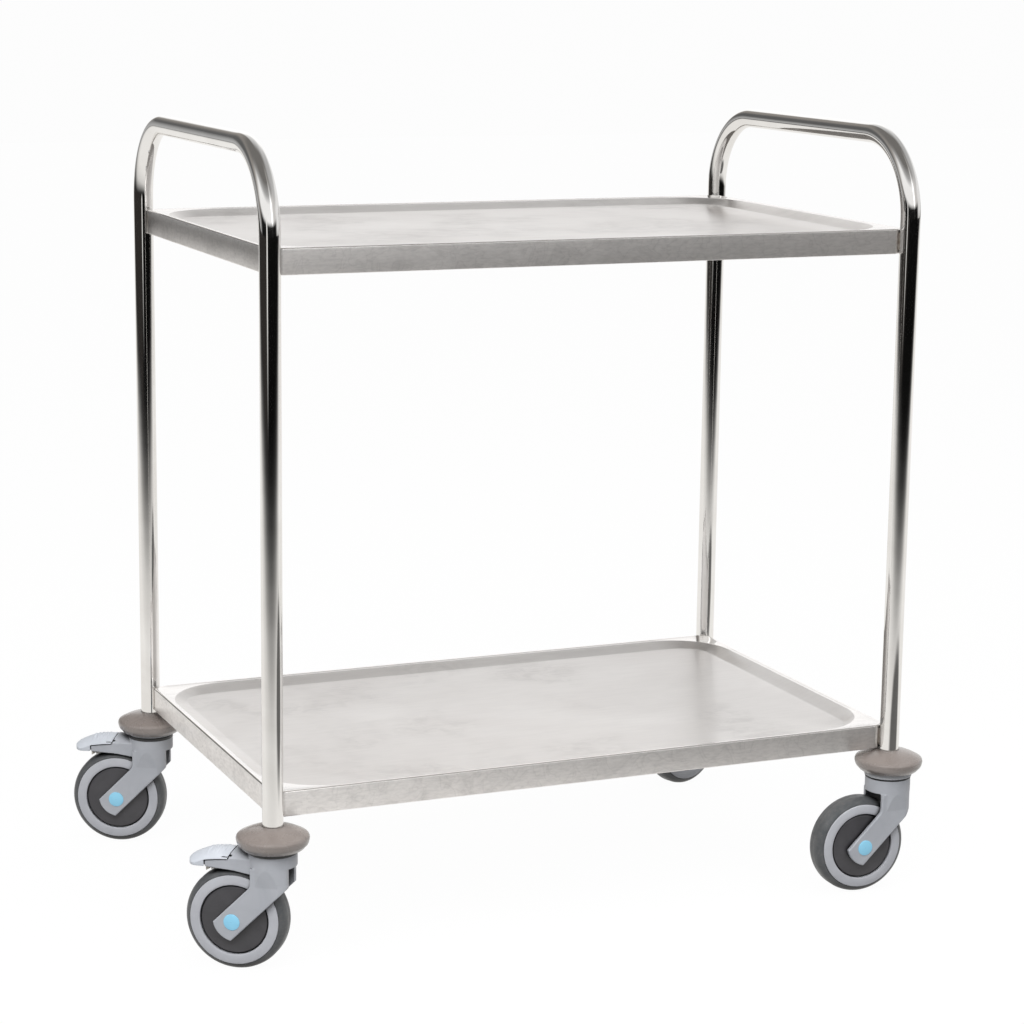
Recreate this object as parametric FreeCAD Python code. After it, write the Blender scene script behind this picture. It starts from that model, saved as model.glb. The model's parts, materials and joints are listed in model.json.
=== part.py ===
import FreeCAD, Part
import math
import os

os.makedirs("parts", exist_ok=True)

# Serving cart with two pressed trays between two bent tube ends, on four swivel castors.
# X runs along the cart to the right, Y to the back and Z up. Lengths are millimetres.
# The origin is on the floor, midway between the four tube axes.

# End frames
tube_diameter = 25.0
tube_wall = 1.5
handle_bend_radius = 100.0
handle_rise = 112.5

# Trays
tray_length = 830.0
tray_width = 510.0
tray_skirt = 31.0
tray_pitch_z = 637.0
sheet_thickness = 1.2
rim_edge = 2.6
rim_round = 1.4
recess_depth = 9.0
recess_run = 31.0
floor_corner_radius = 36.0
floor_corner_shares = (0.0, 0.2, 0.8, 1.0)
hem_width = 10.0
hem_lip_radius = 2.0
notch_clearance = 0.3
tube_outset_x = 1.0
tube_outset_y = 5.0
notch_lip_radius = 4.0
weld_radius = 2.4
weld_margin = 4.0

# Bumper discs
bumper_radius = 43.4
bumper_crown = 15.3
bumper_skirt = 11.3
bumper_shoulder_radius = 27.0
bumper_shoulder_drop = 3.6
bumper_edge_rise = 5.5
bumper_edge_inset = 2.9
bumper_lip_drop = 6.0
bumper_lip_inset = 1.8
bumper_foot_radius = 36.5
bumper_fit = 0.1
bumper_collar_clearance = 0.6
bumper_seat_gap = 0.3
bumper_lift_lf = 1.7
bumper_lift_lb = 4.6
bumper_lift_rf = 8.2
bumper_lift_rb = 7.0

# Castor head, stem and collar
foot_to_tray = 24.0
collar_height = 10.0
collar_radius = 30.3
collar_round = 0.8
spigot_height = 4.0
spigot_clearance = 0.1
head_gap = 1.0
head_height = 19.0
head_radius = 29.0
head_round = 0.8
head_taper = 22.0
wheel_to_head = 5.0
stem_radius = 6.0
stem_clearance = 0.08
stem_hex_flats = 18.0
stem_hex_height = 5.0
stem_hex_gap = 0.2
expander_length = 38.0
expander_clearance = 0.15
expander_cone_height = 9.0
ball_radius = 2.5
ball_circle_radius = 21.0
ball_clearance = 0.1
ball_count = 16

# Fork
trail = 43.0
leg_gap = 40.0
slot_width = 22.0
slot_depth = 14.0
leg_lead = 22.9
leg_thickness = 5.5
leg_half_width = 15.6
leg_angle = 45.0
leg_end = 22.4
leg_end_crown = 4.7
leg_rear = 20.5
leg_knee_radius = 11.0
leg_edge_round = 1.2

# Wheel
wheel_diameter = 125.0
tyre_width = 32.0
tyre_shoulder = 10.6
tyre_seat_depth = 4.6
tyre_seat_width = 26.0
tread_depth = 7.9
ring_breadth = 12.1
ring_width = 34.6
ring_round = 0.9
web_width = 20.0
hub_radius = 14.0
hub_width = 28.0
bearing_radius = 9.0
bearing_length = 7.0
guard_gap = 1.5
guard_edge = 15.6
guard_dome = 1.9
guard_thickness = 1.5
guard_boss_radius = 12.0
guard_boss_gap = 0.3
axle_radius = 5.0
axle_clearance = 0.06
axle_head_radius = 8.0
axle_head_height = 2.4
axle_recess_radius = 8.8
axle_recess_depth = 3.2
cap_radius = 10.0
cap_height = 1.3
cap_edge = 0.6
cap_plug_height = 0.5
cap_plug_clearance = 0.1

# Brake cover and pedal
cover_half_width = 19.4
cover_wall = 2.4
cover_skin = 2.4
cover_start = 15.0
cover_heel = 5.6
cover_belly = 1.0
cover_reach = 35.0
cover_lift = 1.2
cover_tail = 8.0
cover_rise = 13.9
cover_arch = 9.4
cover_nose_back = 30.0
cover_nose_radius = 19.5
cover_brow_rise = 14.6
cover_mouth_rise = 8.0
cover_edge_bevel = 1.0
seam_rise = 3.4
seam_bow = 0.3
seam_gap = 0.6
pivot_back = 36.0
pivot_rise = 9.0
pin_radius = 3.0
pin_clearance = 0.06
pin_cover = 1.2
pedal_half_width = 21.4
pedal_side_gap = 0.3
pedal_skin = 2.3
pedal_arch = 8.8
pedal_inner_arch = 6.1
pedal_start = 40.0
pedal_reach = 61.2
pedal_rise = 13.5
pedal_fall = 18.0
pedal_run_shares = (0.0, 0.19, 0.48, 0.65, 0.86, 0.975, 1.03)
pedal_fall_shares = (0.0, 0.01, 0.09, 0.22, 0.52, 0.77, 1.0)
pedal_under_rise = 2.0
pedal_tip_round = 12.0
pedal_swing_relief = 2.4
pedal_rib_count = 5
pedal_rib_first = 5.5
pedal_rib_pitch = 5.0
pedal_rib_width = 2.0
pedal_rib_height = 0.8
pedal_rib_inset = 3.0
arm_half_width = 13.0
arm_hub_radius = 6.5
arm_top = 2.4
arm_bottom = 4.0
arm_riser = 8.0
shoe_half_width = 14.0
shoe_length = 5.0
shoe_round = 1.2
shoe_back = 37.5
shoe_gap = 4.7
pad_half_width = 9.0
pad_length = 9.5
pad_gap = 2.2

# Swivel angle of each castor from straight out to the left, as they stand
swivel_angle_lf = -36.6
swivel_angle_lb = -28.6
swivel_angle_rf = -1.7
swivel_angle_rb = 19.5

# One overrun for every cut
overrun = 2.0

# Sizes that follow from the ones above
tube_radius = tube_diameter / 2
half_x = tray_length / 2 + tube_outset_x
half_y = tray_width / 2 + tube_outset_y
wheel_radius = wheel_diameter / 2
ring_radius = wheel_radius - tread_depth
tyre_seat_radius = ring_radius - tyre_seat_depth
pocket_radius = ring_radius - ring_breadth
head_bottom = wheel_diameter + wheel_to_head
head_top = head_bottom + head_height
collar_bottom = head_top + head_gap
tube_foot = collar_bottom + collar_height
lower_rim = tube_foot + foot_to_tray + tray_skirt
upper_rim = lower_rim + tray_pitch_z
handle_z = upper_rim + handle_rise
bore_radius = tube_radius - tube_wall
leg_inner = leg_gap / 2
leg_outer = leg_inner + leg_thickness
pivot_z = wheel_diameter + pivot_rise

UP = FreeCAD.Vector(0, 0, 1)
ALONG_Y = FreeCAD.Vector(0, 1, 0)
CORNERS = {
    "lf": (-half_x, -half_y, swivel_angle_lf, bumper_lift_lf),
    "lb": (-half_x, half_y, swivel_angle_lb, bumper_lift_lb),
    "rf": (half_x, -half_y, swivel_angle_rf, bumper_lift_rf),
    "rb": (half_x, half_y, swivel_angle_rb, bumper_lift_rb),
}


def at(x, y, z):
    return FreeCAD.Vector(x, y, z)


def save(shape, name):
    shape.exportStep("parts/" + name + ".step")


def segment(start, end):
    return Part.LineSegment(start, end).toShape()


def arc(start, middle, end):
    return Part.Arc(start, middle, end).toShape()


def rod(radius, bottom, top):
    return Part.makeCylinder(radius, top - bottom, at(0, 0, bottom), UP)


def cross_rod(radius, half_length, x, z):
    return Part.makeCylinder(radius, 2 * half_length, at(x, -half_length, z), ALONG_Y)


def turned_upright(edges):
    face = Part.Face(Part.Wire(edges))
    return face.revolve(at(0, 0, 0), UP, 360)


def turned_across(edges):
    face = Part.Face(Part.Wire(edges))
    return face.revolve(at(0, 0, 0), ALONG_Y, 360)


def polygon(points):
    return [segment(a, b) for a, b in zip(points, points[1:] + points[:1])]


def plate(edges, near, far):
    # Side outline in X and Z, filled and thickened along Y from near to far
    face = Part.Face(Part.Wire(edges))
    face.translate(at(0, near, 0))
    return face.extrude(at(0, far - near, 0))


def hexagon(flats, bottom, top):
    corner = flats / math.sqrt(3)
    points = []
    for step in range(6):
        angle = math.radians(60 * step)
        points.append(at(corner * math.cos(angle), corner * math.sin(angle), bottom))
    face = Part.Face(Part.Wire(polygon(points)))
    return face.extrude(at(0, 0, top - bottom))


# End frames: one tube bent into an inverted U, from one castor up, over and down
def frame_path():
    low = tube_foot
    spring = handle_z - handle_bend_radius
    inner = half_y - handle_bend_radius
    slant = handle_bend_radius * math.sqrt(0.5)
    return Part.Wire([
        segment(at(0, -half_y, low), at(0, -half_y, spring)),
        arc(at(0, -half_y, spring), at(0, -inner - slant, spring + slant), at(0, -inner, handle_z)),
        segment(at(0, -inner, handle_z), at(0, inner, handle_z)),
        arc(at(0, inner, handle_z), at(0, inner + slant, spring + slant), at(0, half_y, spring)),
        segment(at(0, half_y, spring), at(0, half_y, low)),
    ])


def bent_rod(radius):
    circle = Part.Circle(at(0, -half_y, tube_foot), UP, radius)
    profile = Part.Wire(circle.toShape())
    return frame_path().makePipeShell([profile], True, True)


def end_frame(x):
    tube = bent_rod(tube_radius).cut(bent_rod(bore_radius))
    tube.translate(at(x, 0, 0))
    return tube


# Trays: one pressed sheet with a skirt, a hemmed foot, a sloping rim and a sunken floor.
# Each corner is notched round its tube.
def notch_arcs(inset, lip):
    edge_x = tray_length / 2 - inset
    edge_y = tray_width / 2 - inset
    radius = tube_radius + notch_clearance + inset
    reach = radius + lip
    side = at(edge_x - lip, half_y - math.sqrt(reach ** 2 - (half_x - edge_x + lip) ** 2), 0)
    back = at(half_x - math.sqrt(reach ** 2 - (half_y - edge_y + lip) ** 2), edge_y - lip, 0)
    axis = at(half_x, half_y, 0)
    to_side = (side - axis).normalize()
    to_back = (back - axis).normalize()
    halfway = (to_side + to_back).normalize()
    side_touch = axis + to_side * radius
    back_touch = axis + to_back * radius
    side_turn = (at(1, 0, 0) - to_side).normalize()
    back_turn = (at(0, 1, 0) - to_back).normalize()
    return [
        (at(edge_x, side.y, 0), side + side_turn * lip, side_touch),
        (side_touch, axis + halfway * radius, back_touch),
        (back_touch, back + back_turn * lip, at(back.x, edge_y, 0)),
    ]


def floor_arcs(run, radius):
    centre = at(tray_length / 2 - run - radius, tray_width / 2 - run - radius, 0)

    def on_corner(share):
        angle = math.radians(90 * share)
        return centre + at(radius * math.cos(angle), radius * math.sin(angle), 0)

    arcs = []
    for start, end in zip(floor_corner_shares, floor_corner_shares[1:]):
        arcs.append((on_corner(start), on_corner((start + end) / 2), on_corner(end)))
    return arcs


def four_cornered(arcs, z):
    # Mirrors the arcs of one corner to all four and joins them with straight sides
    edges = []
    last = None
    first = None
    for sign_x, sign_y in ((1, 1), (-1, 1), (-1, -1), (1, -1)):
        corner = [[at(p.x * sign_x, p.y * sign_y, z) for p in points] for points in arcs]
        if sign_x * sign_y < 0:
            corner = [points[::-1] for points in corner[::-1]]
        if last is None:
            first = corner[0][0]
        else:
            edges.append(segment(last, corner[0][0]))
        for start, middle, end in corner:
            edges.append(arc(start, middle, end))
        last = corner[-1][2]
    edges.append(segment(last, first))
    return Part.Wire(edges)


def slab(wire, height):
    return Part.Face(wire).extrude(at(0, 0, height))


def tray_outline(inset, z):
    return four_cornered(notch_arcs(inset, notch_lip_radius - inset), z)


def bowl(rim_z, floor_z):
    floor = four_cornered(floor_arcs(recess_run, floor_corner_radius), floor_z)
    return Part.makeLoft([tray_outline(rim_edge, rim_z), floor], True, True)


def tray_block(rim_z):
    return slab(tray_outline(0, rim_z - tray_skirt), tray_skirt)


def tray(rim_z):
    foot_z = rim_z - tray_skirt
    floor_z = rim_z - recess_depth
    block = tray_block(rim_z)
    top_edges = [e for e in block.Edges if e.BoundBox.ZMin > rim_z - sheet_thickness / 2]
    block = block.makeFillet(rim_round, top_edges)
    above = slab(tray_outline(rim_edge, rim_z), overrun)
    block = block.cut(bowl(rim_z, floor_z).fuse(above))
    inside_height = tray_skirt - 2 * sheet_thickness
    inside = slab(tray_outline(sheet_thickness, foot_z + sheet_thickness), inside_height)
    inside = inside.cut(bowl(rim_z - sheet_thickness, floor_z - sheet_thickness))
    opening = four_cornered(notch_arcs(hem_width, hem_lip_radius), foot_z - overrun)
    return block.cut(inside).cut(slab(opening, sheet_thickness + 2 * overrun))


def tray_welds(rim_z):
    # A bead fills the groove between each lip of the notch and the tube
    bottom = rim_z - tray_skirt + weld_margin
    height = tray_skirt - 2 * weld_margin
    block = tray_block(rim_z)
    side, notch, back = notch_arcs(0, notch_lip_radius)
    beads = []
    for sign_x, sign_y in ((1, 1), (-1, 1), (-1, -1), (1, -1)):
        tube = Part.makeCylinder(tube_radius, height, at(half_x * sign_x, half_y * sign_y, bottom), UP)
        for place in (side[2], back[0]):
            foot = at(place.x * sign_x, place.y * sign_y, bottom)
            bead = Part.makeCylinder(weld_radius, height, foot, UP)
            beads.append(bead.cut(tube).cut(block))
    return beads


def welded_tray(rim_z):
    return tray(rim_z).fuse(tray_welds(rim_z))


# Bumper disc: a rubber lens gripping the tube, hollow underneath to pass over the collar
def bumper(lift):
    middle = tube_foot + bumper_seat_gap + lift
    bore = tube_radius + bumper_fit
    hollow = collar_radius + bumper_collar_clearance
    top = middle + bumper_crown
    foot = middle - bumper_skirt
    shoulder = at(bumper_shoulder_radius, 0, top - bumper_shoulder_drop)
    upper_edge = at(bumper_radius - bumper_edge_inset, 0, middle + bumper_edge_rise)
    lower_edge = at(bumper_radius - bumper_lip_inset, 0, middle - bumper_lip_drop)
    foot_corner = at(bumper_foot_radius, 0, foot)
    return turned_upright([
        arc(at(bore, 0, top), shoulder, upper_edge),
        arc(upper_edge, at(bumper_radius, 0, middle), lower_edge),
        segment(lower_edge, foot_corner),
        segment(foot_corner, at(hollow, 0, foot)),
        segment(at(hollow, 0, foot), at(hollow, 0, middle)),
        segment(at(hollow, 0, middle), at(bore, 0, middle)),
        segment(at(bore, 0, middle), at(bore, 0, top)),
    ])


# Castor head: stem, expander, collar and the balls that the fork turns on
def stem():
    hex_top = head_bottom - stem_hex_gap
    cone_foot = tube_foot + spigot_height + expander_length
    cone_top = cone_foot + expander_cone_height
    narrow = stem_radius
    wide = bore_radius - expander_clearance
    shaft = rod(stem_radius, hex_top, cone_foot)
    cone = Part.makeCone(narrow, wide, cone_top - cone_foot, at(0, 0, cone_foot), UP)
    return hexagon(stem_hex_flats, hex_top - stem_hex_height, hex_top).fuse([shaft, cone])


def expander():
    bottom = tube_foot + spigot_height
    sleeve = rod(bore_radius - expander_clearance, bottom, bottom + expander_length)
    return sleeve.cut(rod(stem_radius, bottom - overrun, bottom + expander_length + overrun))


def ball_groove():
    middle = collar_bottom - head_gap / 2
    return Part.makeTorus(ball_circle_radius, ball_radius + ball_clearance, at(0, 0, middle), UP)


def collar():
    ring = rod(collar_radius, collar_bottom, tube_foot)
    ring = ring.makeFillet(collar_round, [e for e in ring.Edges if e.BoundBox.ZLength < collar_round])
    spigot = rod(bore_radius - spigot_clearance, tube_foot, tube_foot + spigot_height)
    bore = rod(stem_radius + stem_clearance, collar_bottom - overrun, tube_foot + spigot_height + overrun)
    return ring.fuse(spigot).cut(bore).cut(ball_groove())


def swivel_balls():
    middle = collar_bottom - head_gap / 2
    balls = []
    for step in range(ball_count):
        angle = math.radians(360 * step / ball_count)
        x = ball_circle_radius * math.cos(angle)
        y = ball_circle_radius * math.sin(angle)
        balls.append(Part.makeSphere(ball_radius, at(x, y, middle)))
    return Part.makeCompound(balls)


# Fork: a round head over two legs that slant back to the axle.
# It is drawn trailing along +X from the stem, with the axle along Y.
def leg_outline():
    slope = math.radians(leg_angle)
    down = at(math.cos(slope), 0, -math.sin(slope))
    across = at(math.sin(slope), 0, math.cos(slope))
    axle = at(trail, 0, wheel_radius)
    reach = leg_end - leg_end_crown
    upper_end = axle + across * leg_half_width + down * reach
    lower_end = axle - across * leg_half_width + down * reach
    tip = axle + down * leg_end
    knee = upper_end - down * ((upper_end.x - leg_rear) / down.x)
    heel = lower_end - down * ((lower_end.x + head_radius) / down.x)
    return [
        segment(at(-head_radius, 0, head_bottom), heel),
        segment(heel, lower_end),
        arc(lower_end, tip, upper_end),
        segment(upper_end, knee),
        segment(knee, at(leg_rear, 0, head_bottom)),
        segment(at(leg_rear, 0, head_bottom), at(-head_radius, 0, head_bottom)),
    ]


def wheel_room():
    return Part.makeBox(2 * trail, leg_gap, head_bottom, at(-slot_depth, -leg_inner, 0))


def in_front():
    # The legs end in a flat face just behind the front of the head
    return Part.makeBox(trail, 2 * trail, head_bottom, at(-leg_lead - trail, -trail, 0))


def leg():
    # The front of each leg keeps the round of the head, and its back makes room for the wheel
    solid = plate(leg_outline(), slot_width / 2, leg_outer)
    knee_edges = []
    for edge in solid.Edges:
        box = edge.BoundBox
        across = box.XLength < overrun / 2 and box.ZLength < overrun / 2
        if across and abs(box.Center.x - leg_rear) < overrun / 2 and box.ZMax < head_bottom - overrun:
            knee_edges.append(edge)
    solid = solid.makeFillet(leg_knee_radius, knee_edges)
    outer = []
    for edge in solid.Edges:
        box = edge.BoundBox
        if box.YMin > leg_outer - leg_edge_round / 2 and box.ZMin < head_bottom - overrun:
            outer.append(edge)
    solid = solid.makeFillet(leg_edge_round, outer)
    behind = Part.makeBox(2 * trail, 2 * head_radius, head_top, at(0, -head_radius, 0))
    solid = solid.common(rod(head_radius, 0, head_top).fuse(behind))
    return solid.cut([wheel_room(), in_front()])


def head_column():
    # The round head, slotted for the wheel and sloped in to the flat of each leg
    low = head_bottom - head_taper
    column = rod(head_radius, low, head_top)
    top_edge = [e for e in column.Edges if e.BoundBox.ZMin > head_top - head_round / 2]
    column = column.makeFillet(head_round, top_edge)
    long = 2 * head_radius
    slot = Part.makeBox(long, slot_width, head_taper, at(-head_radius, -slot_width / 2, low))
    behind = Part.makeBox(long, long, head_taper, at(leg_rear, -head_radius, low))
    beyond = head_radius + overrun
    slope = Part.Face(Part.Wire(polygon([
        at(-beyond, leg_outer, low),
        at(-beyond, head_radius, head_bottom),
        at(-beyond, beyond, head_bottom),
        at(-beyond, beyond, low),
    ]))).extrude(at(2 * beyond, 0, 0))
    return column.cut([slot, wheel_room(), in_front(), behind, slope, slope.mirror(at(0, 0, 0), ALONG_Y)])


def fork_bores(solid):
    bore = rod(stem_radius + stem_clearance, head_bottom - overrun, head_top + overrun)
    axle_bore = cross_rod(axle_radius + axle_clearance, leg_outer + overrun, trail, wheel_radius)
    recess = cross_rod(axle_recess_radius, leg_outer + overrun, trail, wheel_radius)
    keep = leg_outer - axle_recess_depth
    recess = recess.cut(cross_rod(axle_recess_radius + overrun, keep, trail, wheel_radius))
    return solid.cut([bore, ball_groove(), axle_bore, recess])


def fork_body():
    near = leg()
    return head_column().fuse([near, near.mirror(at(0, 0, 0), ALONG_Y)])


def fork():
    return fork_bores(fork_body())


# Brake cover: two side walls and a rounded nose, moulded on the fork over the wheel
def nose_point(radius, rise):
    return at(cover_nose_back + math.sqrt(radius ** 2 - rise ** 2), 0, pivot_z + rise)


def seam(gap):
    # The parting line between cover and pedal, from the nose out to the tail
    start = nose_point(cover_nose_radius + gap, seam_rise + gap)
    end = at(trail + cover_reach + gap, 0, wheel_diameter + cover_lift + cover_tail + gap)
    middle = (start + end) * 0.5 + at(0, 0, seam_bow)
    return start, middle, end


def arched(x, half_width, top, drop):
    # A cross section with a flat foot and an arched top
    low = wheel_radius
    side = top - drop
    return Part.Wire([
        segment(at(x, -half_width, low), at(x, half_width, low)),
        segment(at(x, half_width, low), at(x, half_width, side)),
        arc(at(x, half_width, side), at(x, 0, top), at(x, -half_width, side)),
        segment(at(x, -half_width, side), at(x, -half_width, low)),
    ])


def cover_vault(skin):
    # The arched form of the cover, thinner by one skin inside
    half_width = cover_half_width - (cover_wall if skin else 0)
    section = arched(0, half_width, pivot_z + cover_rise - skin, cover_arch - skin)
    return Part.Face(section).extrude(at(2 * trail, 0, 0))


def cover_side():
    start, middle, end = seam(0)
    tail_foot = at(trail + cover_reach, 0, wheel_diameter + cover_lift)
    belly = at(trail, 0, wheel_diameter - cover_belly)
    heel = at(cover_start, 0, wheel_diameter - cover_heel)
    brow = nose_point(cover_nose_radius, cover_brow_rise)
    shoulder = nose_point(cover_nose_radius, (cover_brow_rise + seam_rise) / 2)
    back = at(cover_start, 0, brow.z)
    return [
        segment(heel, belly),
        segment(belly, tail_foot),
        segment(tail_foot, end),
        arc(end, middle, start),
        arc(start, shoulder, brow),
        segment(brow, back),
        segment(back, heel),
    ]


def cover_inside():
    # Room for the wheel and the pedal arm behind the nose
    inner = cover_nose_radius - cover_skin
    lip = nose_point(inner, cover_mouth_rise)
    brow = nose_point(inner, cover_brow_rise)
    curve = nose_point(inner, (cover_mouth_rise + cover_brow_rise) / 2)
    floor_z = wheel_diameter - cover_heel - overrun
    return [
        segment(at(cover_start, 0, floor_z), at(lip.x, 0, floor_z)),
        segment(at(lip.x, 0, floor_z), lip),
        arc(lip, curve, brow),
        segment(brow, at(cover_start, 0, brow.z)),
        segment(at(cover_start, 0, brow.z), at(cover_start, 0, floor_z)),
    ]


def brake_cover():
    inner = cover_half_width - cover_wall
    lip = nose_point(cover_nose_radius - cover_skin, cover_mouth_rise)
    floor_z = wheel_diameter - cover_heel - overrun
    open_run = trail + cover_reach + overrun - lip.x
    mouth = Part.makeBox(open_run, 2 * inner, lip.z - floor_z, at(lip.x, -inner, floor_z))
    room = plate(cover_inside(), -inner, inner).common(cover_vault(cover_skin))
    block = plate(cover_side(), -cover_half_width, cover_half_width).common(cover_vault(0))
    start, middle, end = seam(0)
    rail = block.cut([room, mouth])
    edges = []
    for edge in rail.Edges:
        box = edge.BoundBox
        outside = box.YMin > cover_half_width - overrun / 2 or box.YMax < overrun / 2 - cover_half_width
        if outside and box.XMin > start.x - overrun and box.ZMin > end.z - overrun and box.YLength < overrun / 2:
            edges.append(edge)
    return rail.makeChamfer(cover_edge_bevel, edges)


def brake_fork():
    pin_hole = cross_rod(pin_radius + pin_clearance, cover_half_width - pin_cover, pivot_back, pivot_z)
    swept = cross_rod(arm_hub_radius + seam_gap, arm_half_width + seam_gap, pivot_back, pivot_z)
    body = fork_body().cut(swept)
    return fork_bores(body.fuse(brake_cover())).cut(pin_hole)


def brake_pin():
    return cross_rod(pin_radius, cover_half_width - pin_cover, pivot_back, pivot_z)


# Pedal: an arched and ribbed foot plate hinged on the pin, with its edges down to the parting line
def pedal_vault(half_width, lift, drop):
    # The arched form of the pedal, falling away to its tip
    sections = []
    for run_share, fall_share in zip(pedal_run_shares, pedal_fall_shares):
        top = pivot_z + pedal_rise - pedal_fall * fall_share + lift
        sections.append(arched(pedal_start + pedal_reach * run_share, half_width, top, drop))
    return Part.makeLoft(sections, True)


def pedal_side():
    # Side outline under the arched top
    start, middle, end = seam(seam_gap)
    back = nose_point(cover_nose_radius + seam_gap, cover_brow_rise)
    curve = nose_point(cover_nose_radius + seam_gap, (cover_brow_rise + seam_rise) / 2)
    under_z = wheel_diameter + pedal_under_rise
    tip_x = pedal_start + pedal_reach + overrun
    return [
        segment(back, at(tip_x, 0, back.z)),
        segment(at(tip_x, 0, back.z), at(tip_x, 0, under_z)),
        segment(at(tip_x, 0, under_z), at(end.x, 0, under_z)),
        segment(at(end.x, 0, under_z), end),
        arc(end, middle, start),
        arc(start, curve, back),
    ]


def pedal_plan(inset):
    # Outline seen from above, with a rounded tip
    half_width = pedal_half_width - inset
    tip_x = pedal_start + pedal_reach - inset
    round_x = pedal_start + pedal_reach - pedal_tip_round
    low = wheel_radius
    oval = Part.Ellipse(at(round_x, half_width, low), at(tip_x, 0, low), at(round_x, 0, low))
    tip = Part.Face(Part.Wire(oval.toShape())).extrude(at(0, 0, wheel_diameter))
    length = round_x - cover_nose_back
    body = Part.makeBox(length, 2 * half_width, wheel_diameter, at(cover_nose_back, -half_width, low))
    return tip.fuse(body)


def pedal_ribs():
    # Cross ribs that lie over the arch and fade out down its sides
    reach = pedal_half_width - pedal_rib_inset
    fade = pedal_rib_height + pedal_arch * (reach / pedal_half_width) ** 2
    raised = pedal_vault(reach, pedal_rib_height, fade)
    ribs = []
    for step in range(pedal_rib_count):
        x = cover_nose_back + cover_nose_radius + pedal_rib_first + step * pedal_rib_pitch
        rib = Part.makeBox(
            pedal_rib_width, 2 * reach, pedal_arch + pedal_skin,
            at(x, -reach, pivot_z + pedal_rise - pedal_arch))
        ribs.append(rib.common(raised))
    return ribs


def pedal_shell():
    inner = cover_half_width + pedal_side_gap
    body = plate(pedal_side(), -pedal_half_width, pedal_half_width)
    body = body.common(pedal_vault(pedal_half_width, 0, pedal_arch)).common(pedal_plan(0))
    below = wheel_diameter - cover_heel
    hollow_start = cover_nose_back + cover_nose_radius + seam_gap + pedal_skin
    hollow = Part.makeBox(pedal_reach, 2 * inner, wheel_radius, at(hollow_start, -inner, below))
    hollow = hollow.common(pedal_vault(inner, -pedal_skin, pedal_inner_arch))
    hollow = hollow.common(pedal_plan(pedal_half_width - inner))
    return body.cut(hollow)


def pedal():
    inner = cover_half_width + pedal_side_gap
    nose_x = cover_nose_back + cover_nose_radius
    relief = Part.makeBox(
        arm_riser, 2 * inner, seam_rise + seam_gap + pedal_swing_relief,
        at(nose_x - seam_gap, -inner, pivot_z))
    hub = cross_rod(arm_hub_radius, arm_half_width, pivot_back, pivot_z)
    arm_end = nose_x + seam_gap + pedal_skin + arm_riser
    arm = Part.makeBox(
        arm_end - pivot_back, 2 * arm_half_width, arm_top + arm_bottom,
        at(pivot_back, -arm_half_width, pivot_z - arm_bottom))
    riser = Part.makeBox(
        arm_riser, 2 * arm_half_width, pedal_rise + arm_bottom,
        at(arm_end - arm_riser, -arm_half_width, pivot_z - arm_bottom))
    riser = riser.common(pedal_vault(inner, -pedal_skin / 2, pedal_arch))
    body = pedal_shell().cut(relief).fuse([hub, arm, riser] + pedal_ribs())
    return body.cut(cross_rod(pin_radius + pin_clearance, arm_half_width + overrun, pivot_back, pivot_z))


# Brake shoe: a pale finger under the pedal that swings down onto the tread
def brake_shoe():
    foot_x = pivot_back + shoe_back
    height = wheel_radius + pivot_rise + pedal_rise
    finger = Part.makeBox(shoe_length, 2 * shoe_half_width, height, at(foot_x, -shoe_half_width, wheel_radius))
    edges = [e for e in finger.Edges if e.BoundBox.ZLength > wheel_radius]
    finger = finger.makeFillet(shoe_round, edges)
    clear = cross_rod(wheel_radius + shoe_gap, shoe_half_width + overrun, trail, wheel_radius)
    pad_corner = at(foot_x - pad_length, -pad_half_width, wheel_radius)
    pad = Part.makeBox(pad_length, 2 * pad_half_width, height, pad_corner)
    tread = cross_rod(wheel_radius + pad_gap, shoe_half_width + overrun, trail, wheel_radius)
    both = finger.cut(clear).fuse(pad.cut(tread))
    return both.common(pedal_vault(pedal_half_width, -pedal_skin / 2, pedal_arch)).cut(pedal())


# Wheel: tyre on a pale core, with a bearing at each end of the hub
def tyre():
    crown = tyre_width / 2 - tyre_shoulder
    centre = wheel_radius - tyre_shoulder
    flank = crown + math.sqrt(tyre_shoulder ** 2 - (ring_radius - centre) ** 2)
    seat = tyre_seat_width / 2
    slant = tyre_shoulder * math.sqrt(0.5)
    edges = []
    top = at(wheel_radius, crown, 0)
    shoulder = at(centre + slant, crown + slant, 0)
    foot = at(ring_radius, flank, 0)
    step = at(ring_radius, seat, 0)
    base = at(tyre_seat_radius, seat, 0)

    def mirrored(point):
        return at(point.x, -point.y, 0)

    edges.append(segment(mirrored(top), top))
    edges.append(arc(top, shoulder, foot))
    edges.append(segment(foot, step))
    edges.append(segment(step, base))
    edges.append(segment(base, mirrored(base)))
    edges.append(segment(mirrored(base), mirrored(step)))
    edges.append(segment(mirrored(step), mirrored(foot)))
    edges.append(arc(mirrored(foot), mirrored(shoulder), mirrored(top)))
    return turned_across(edges)


def wheel_core():
    half = [
        (bearing_radius, hub_width / 2 - bearing_length),
        (bearing_radius, hub_width / 2),
        (hub_radius, hub_width / 2),
        (hub_radius, web_width / 2),
        (pocket_radius, web_width / 2),
        (pocket_radius, ring_width / 2 - ring_round),
        (pocket_radius + ring_round, ring_width / 2),
        (ring_radius - ring_round, ring_width / 2),
        (ring_radius, ring_width / 2 - ring_round),
        (ring_radius, tyre_seat_width / 2),
        (tyre_seat_radius, tyre_seat_width / 2),
    ]
    inner = axle_radius + 2 * axle_clearance
    shelf = [(inner, hub_width / 2 - bearing_length)]
    outline = shelf + half
    mirrored = [(r, -n) for r, n in outline[::-1]]
    points = [at(r, n, 0) for r, n in outline + mirrored]
    return turned_across(polygon(points))


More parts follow.
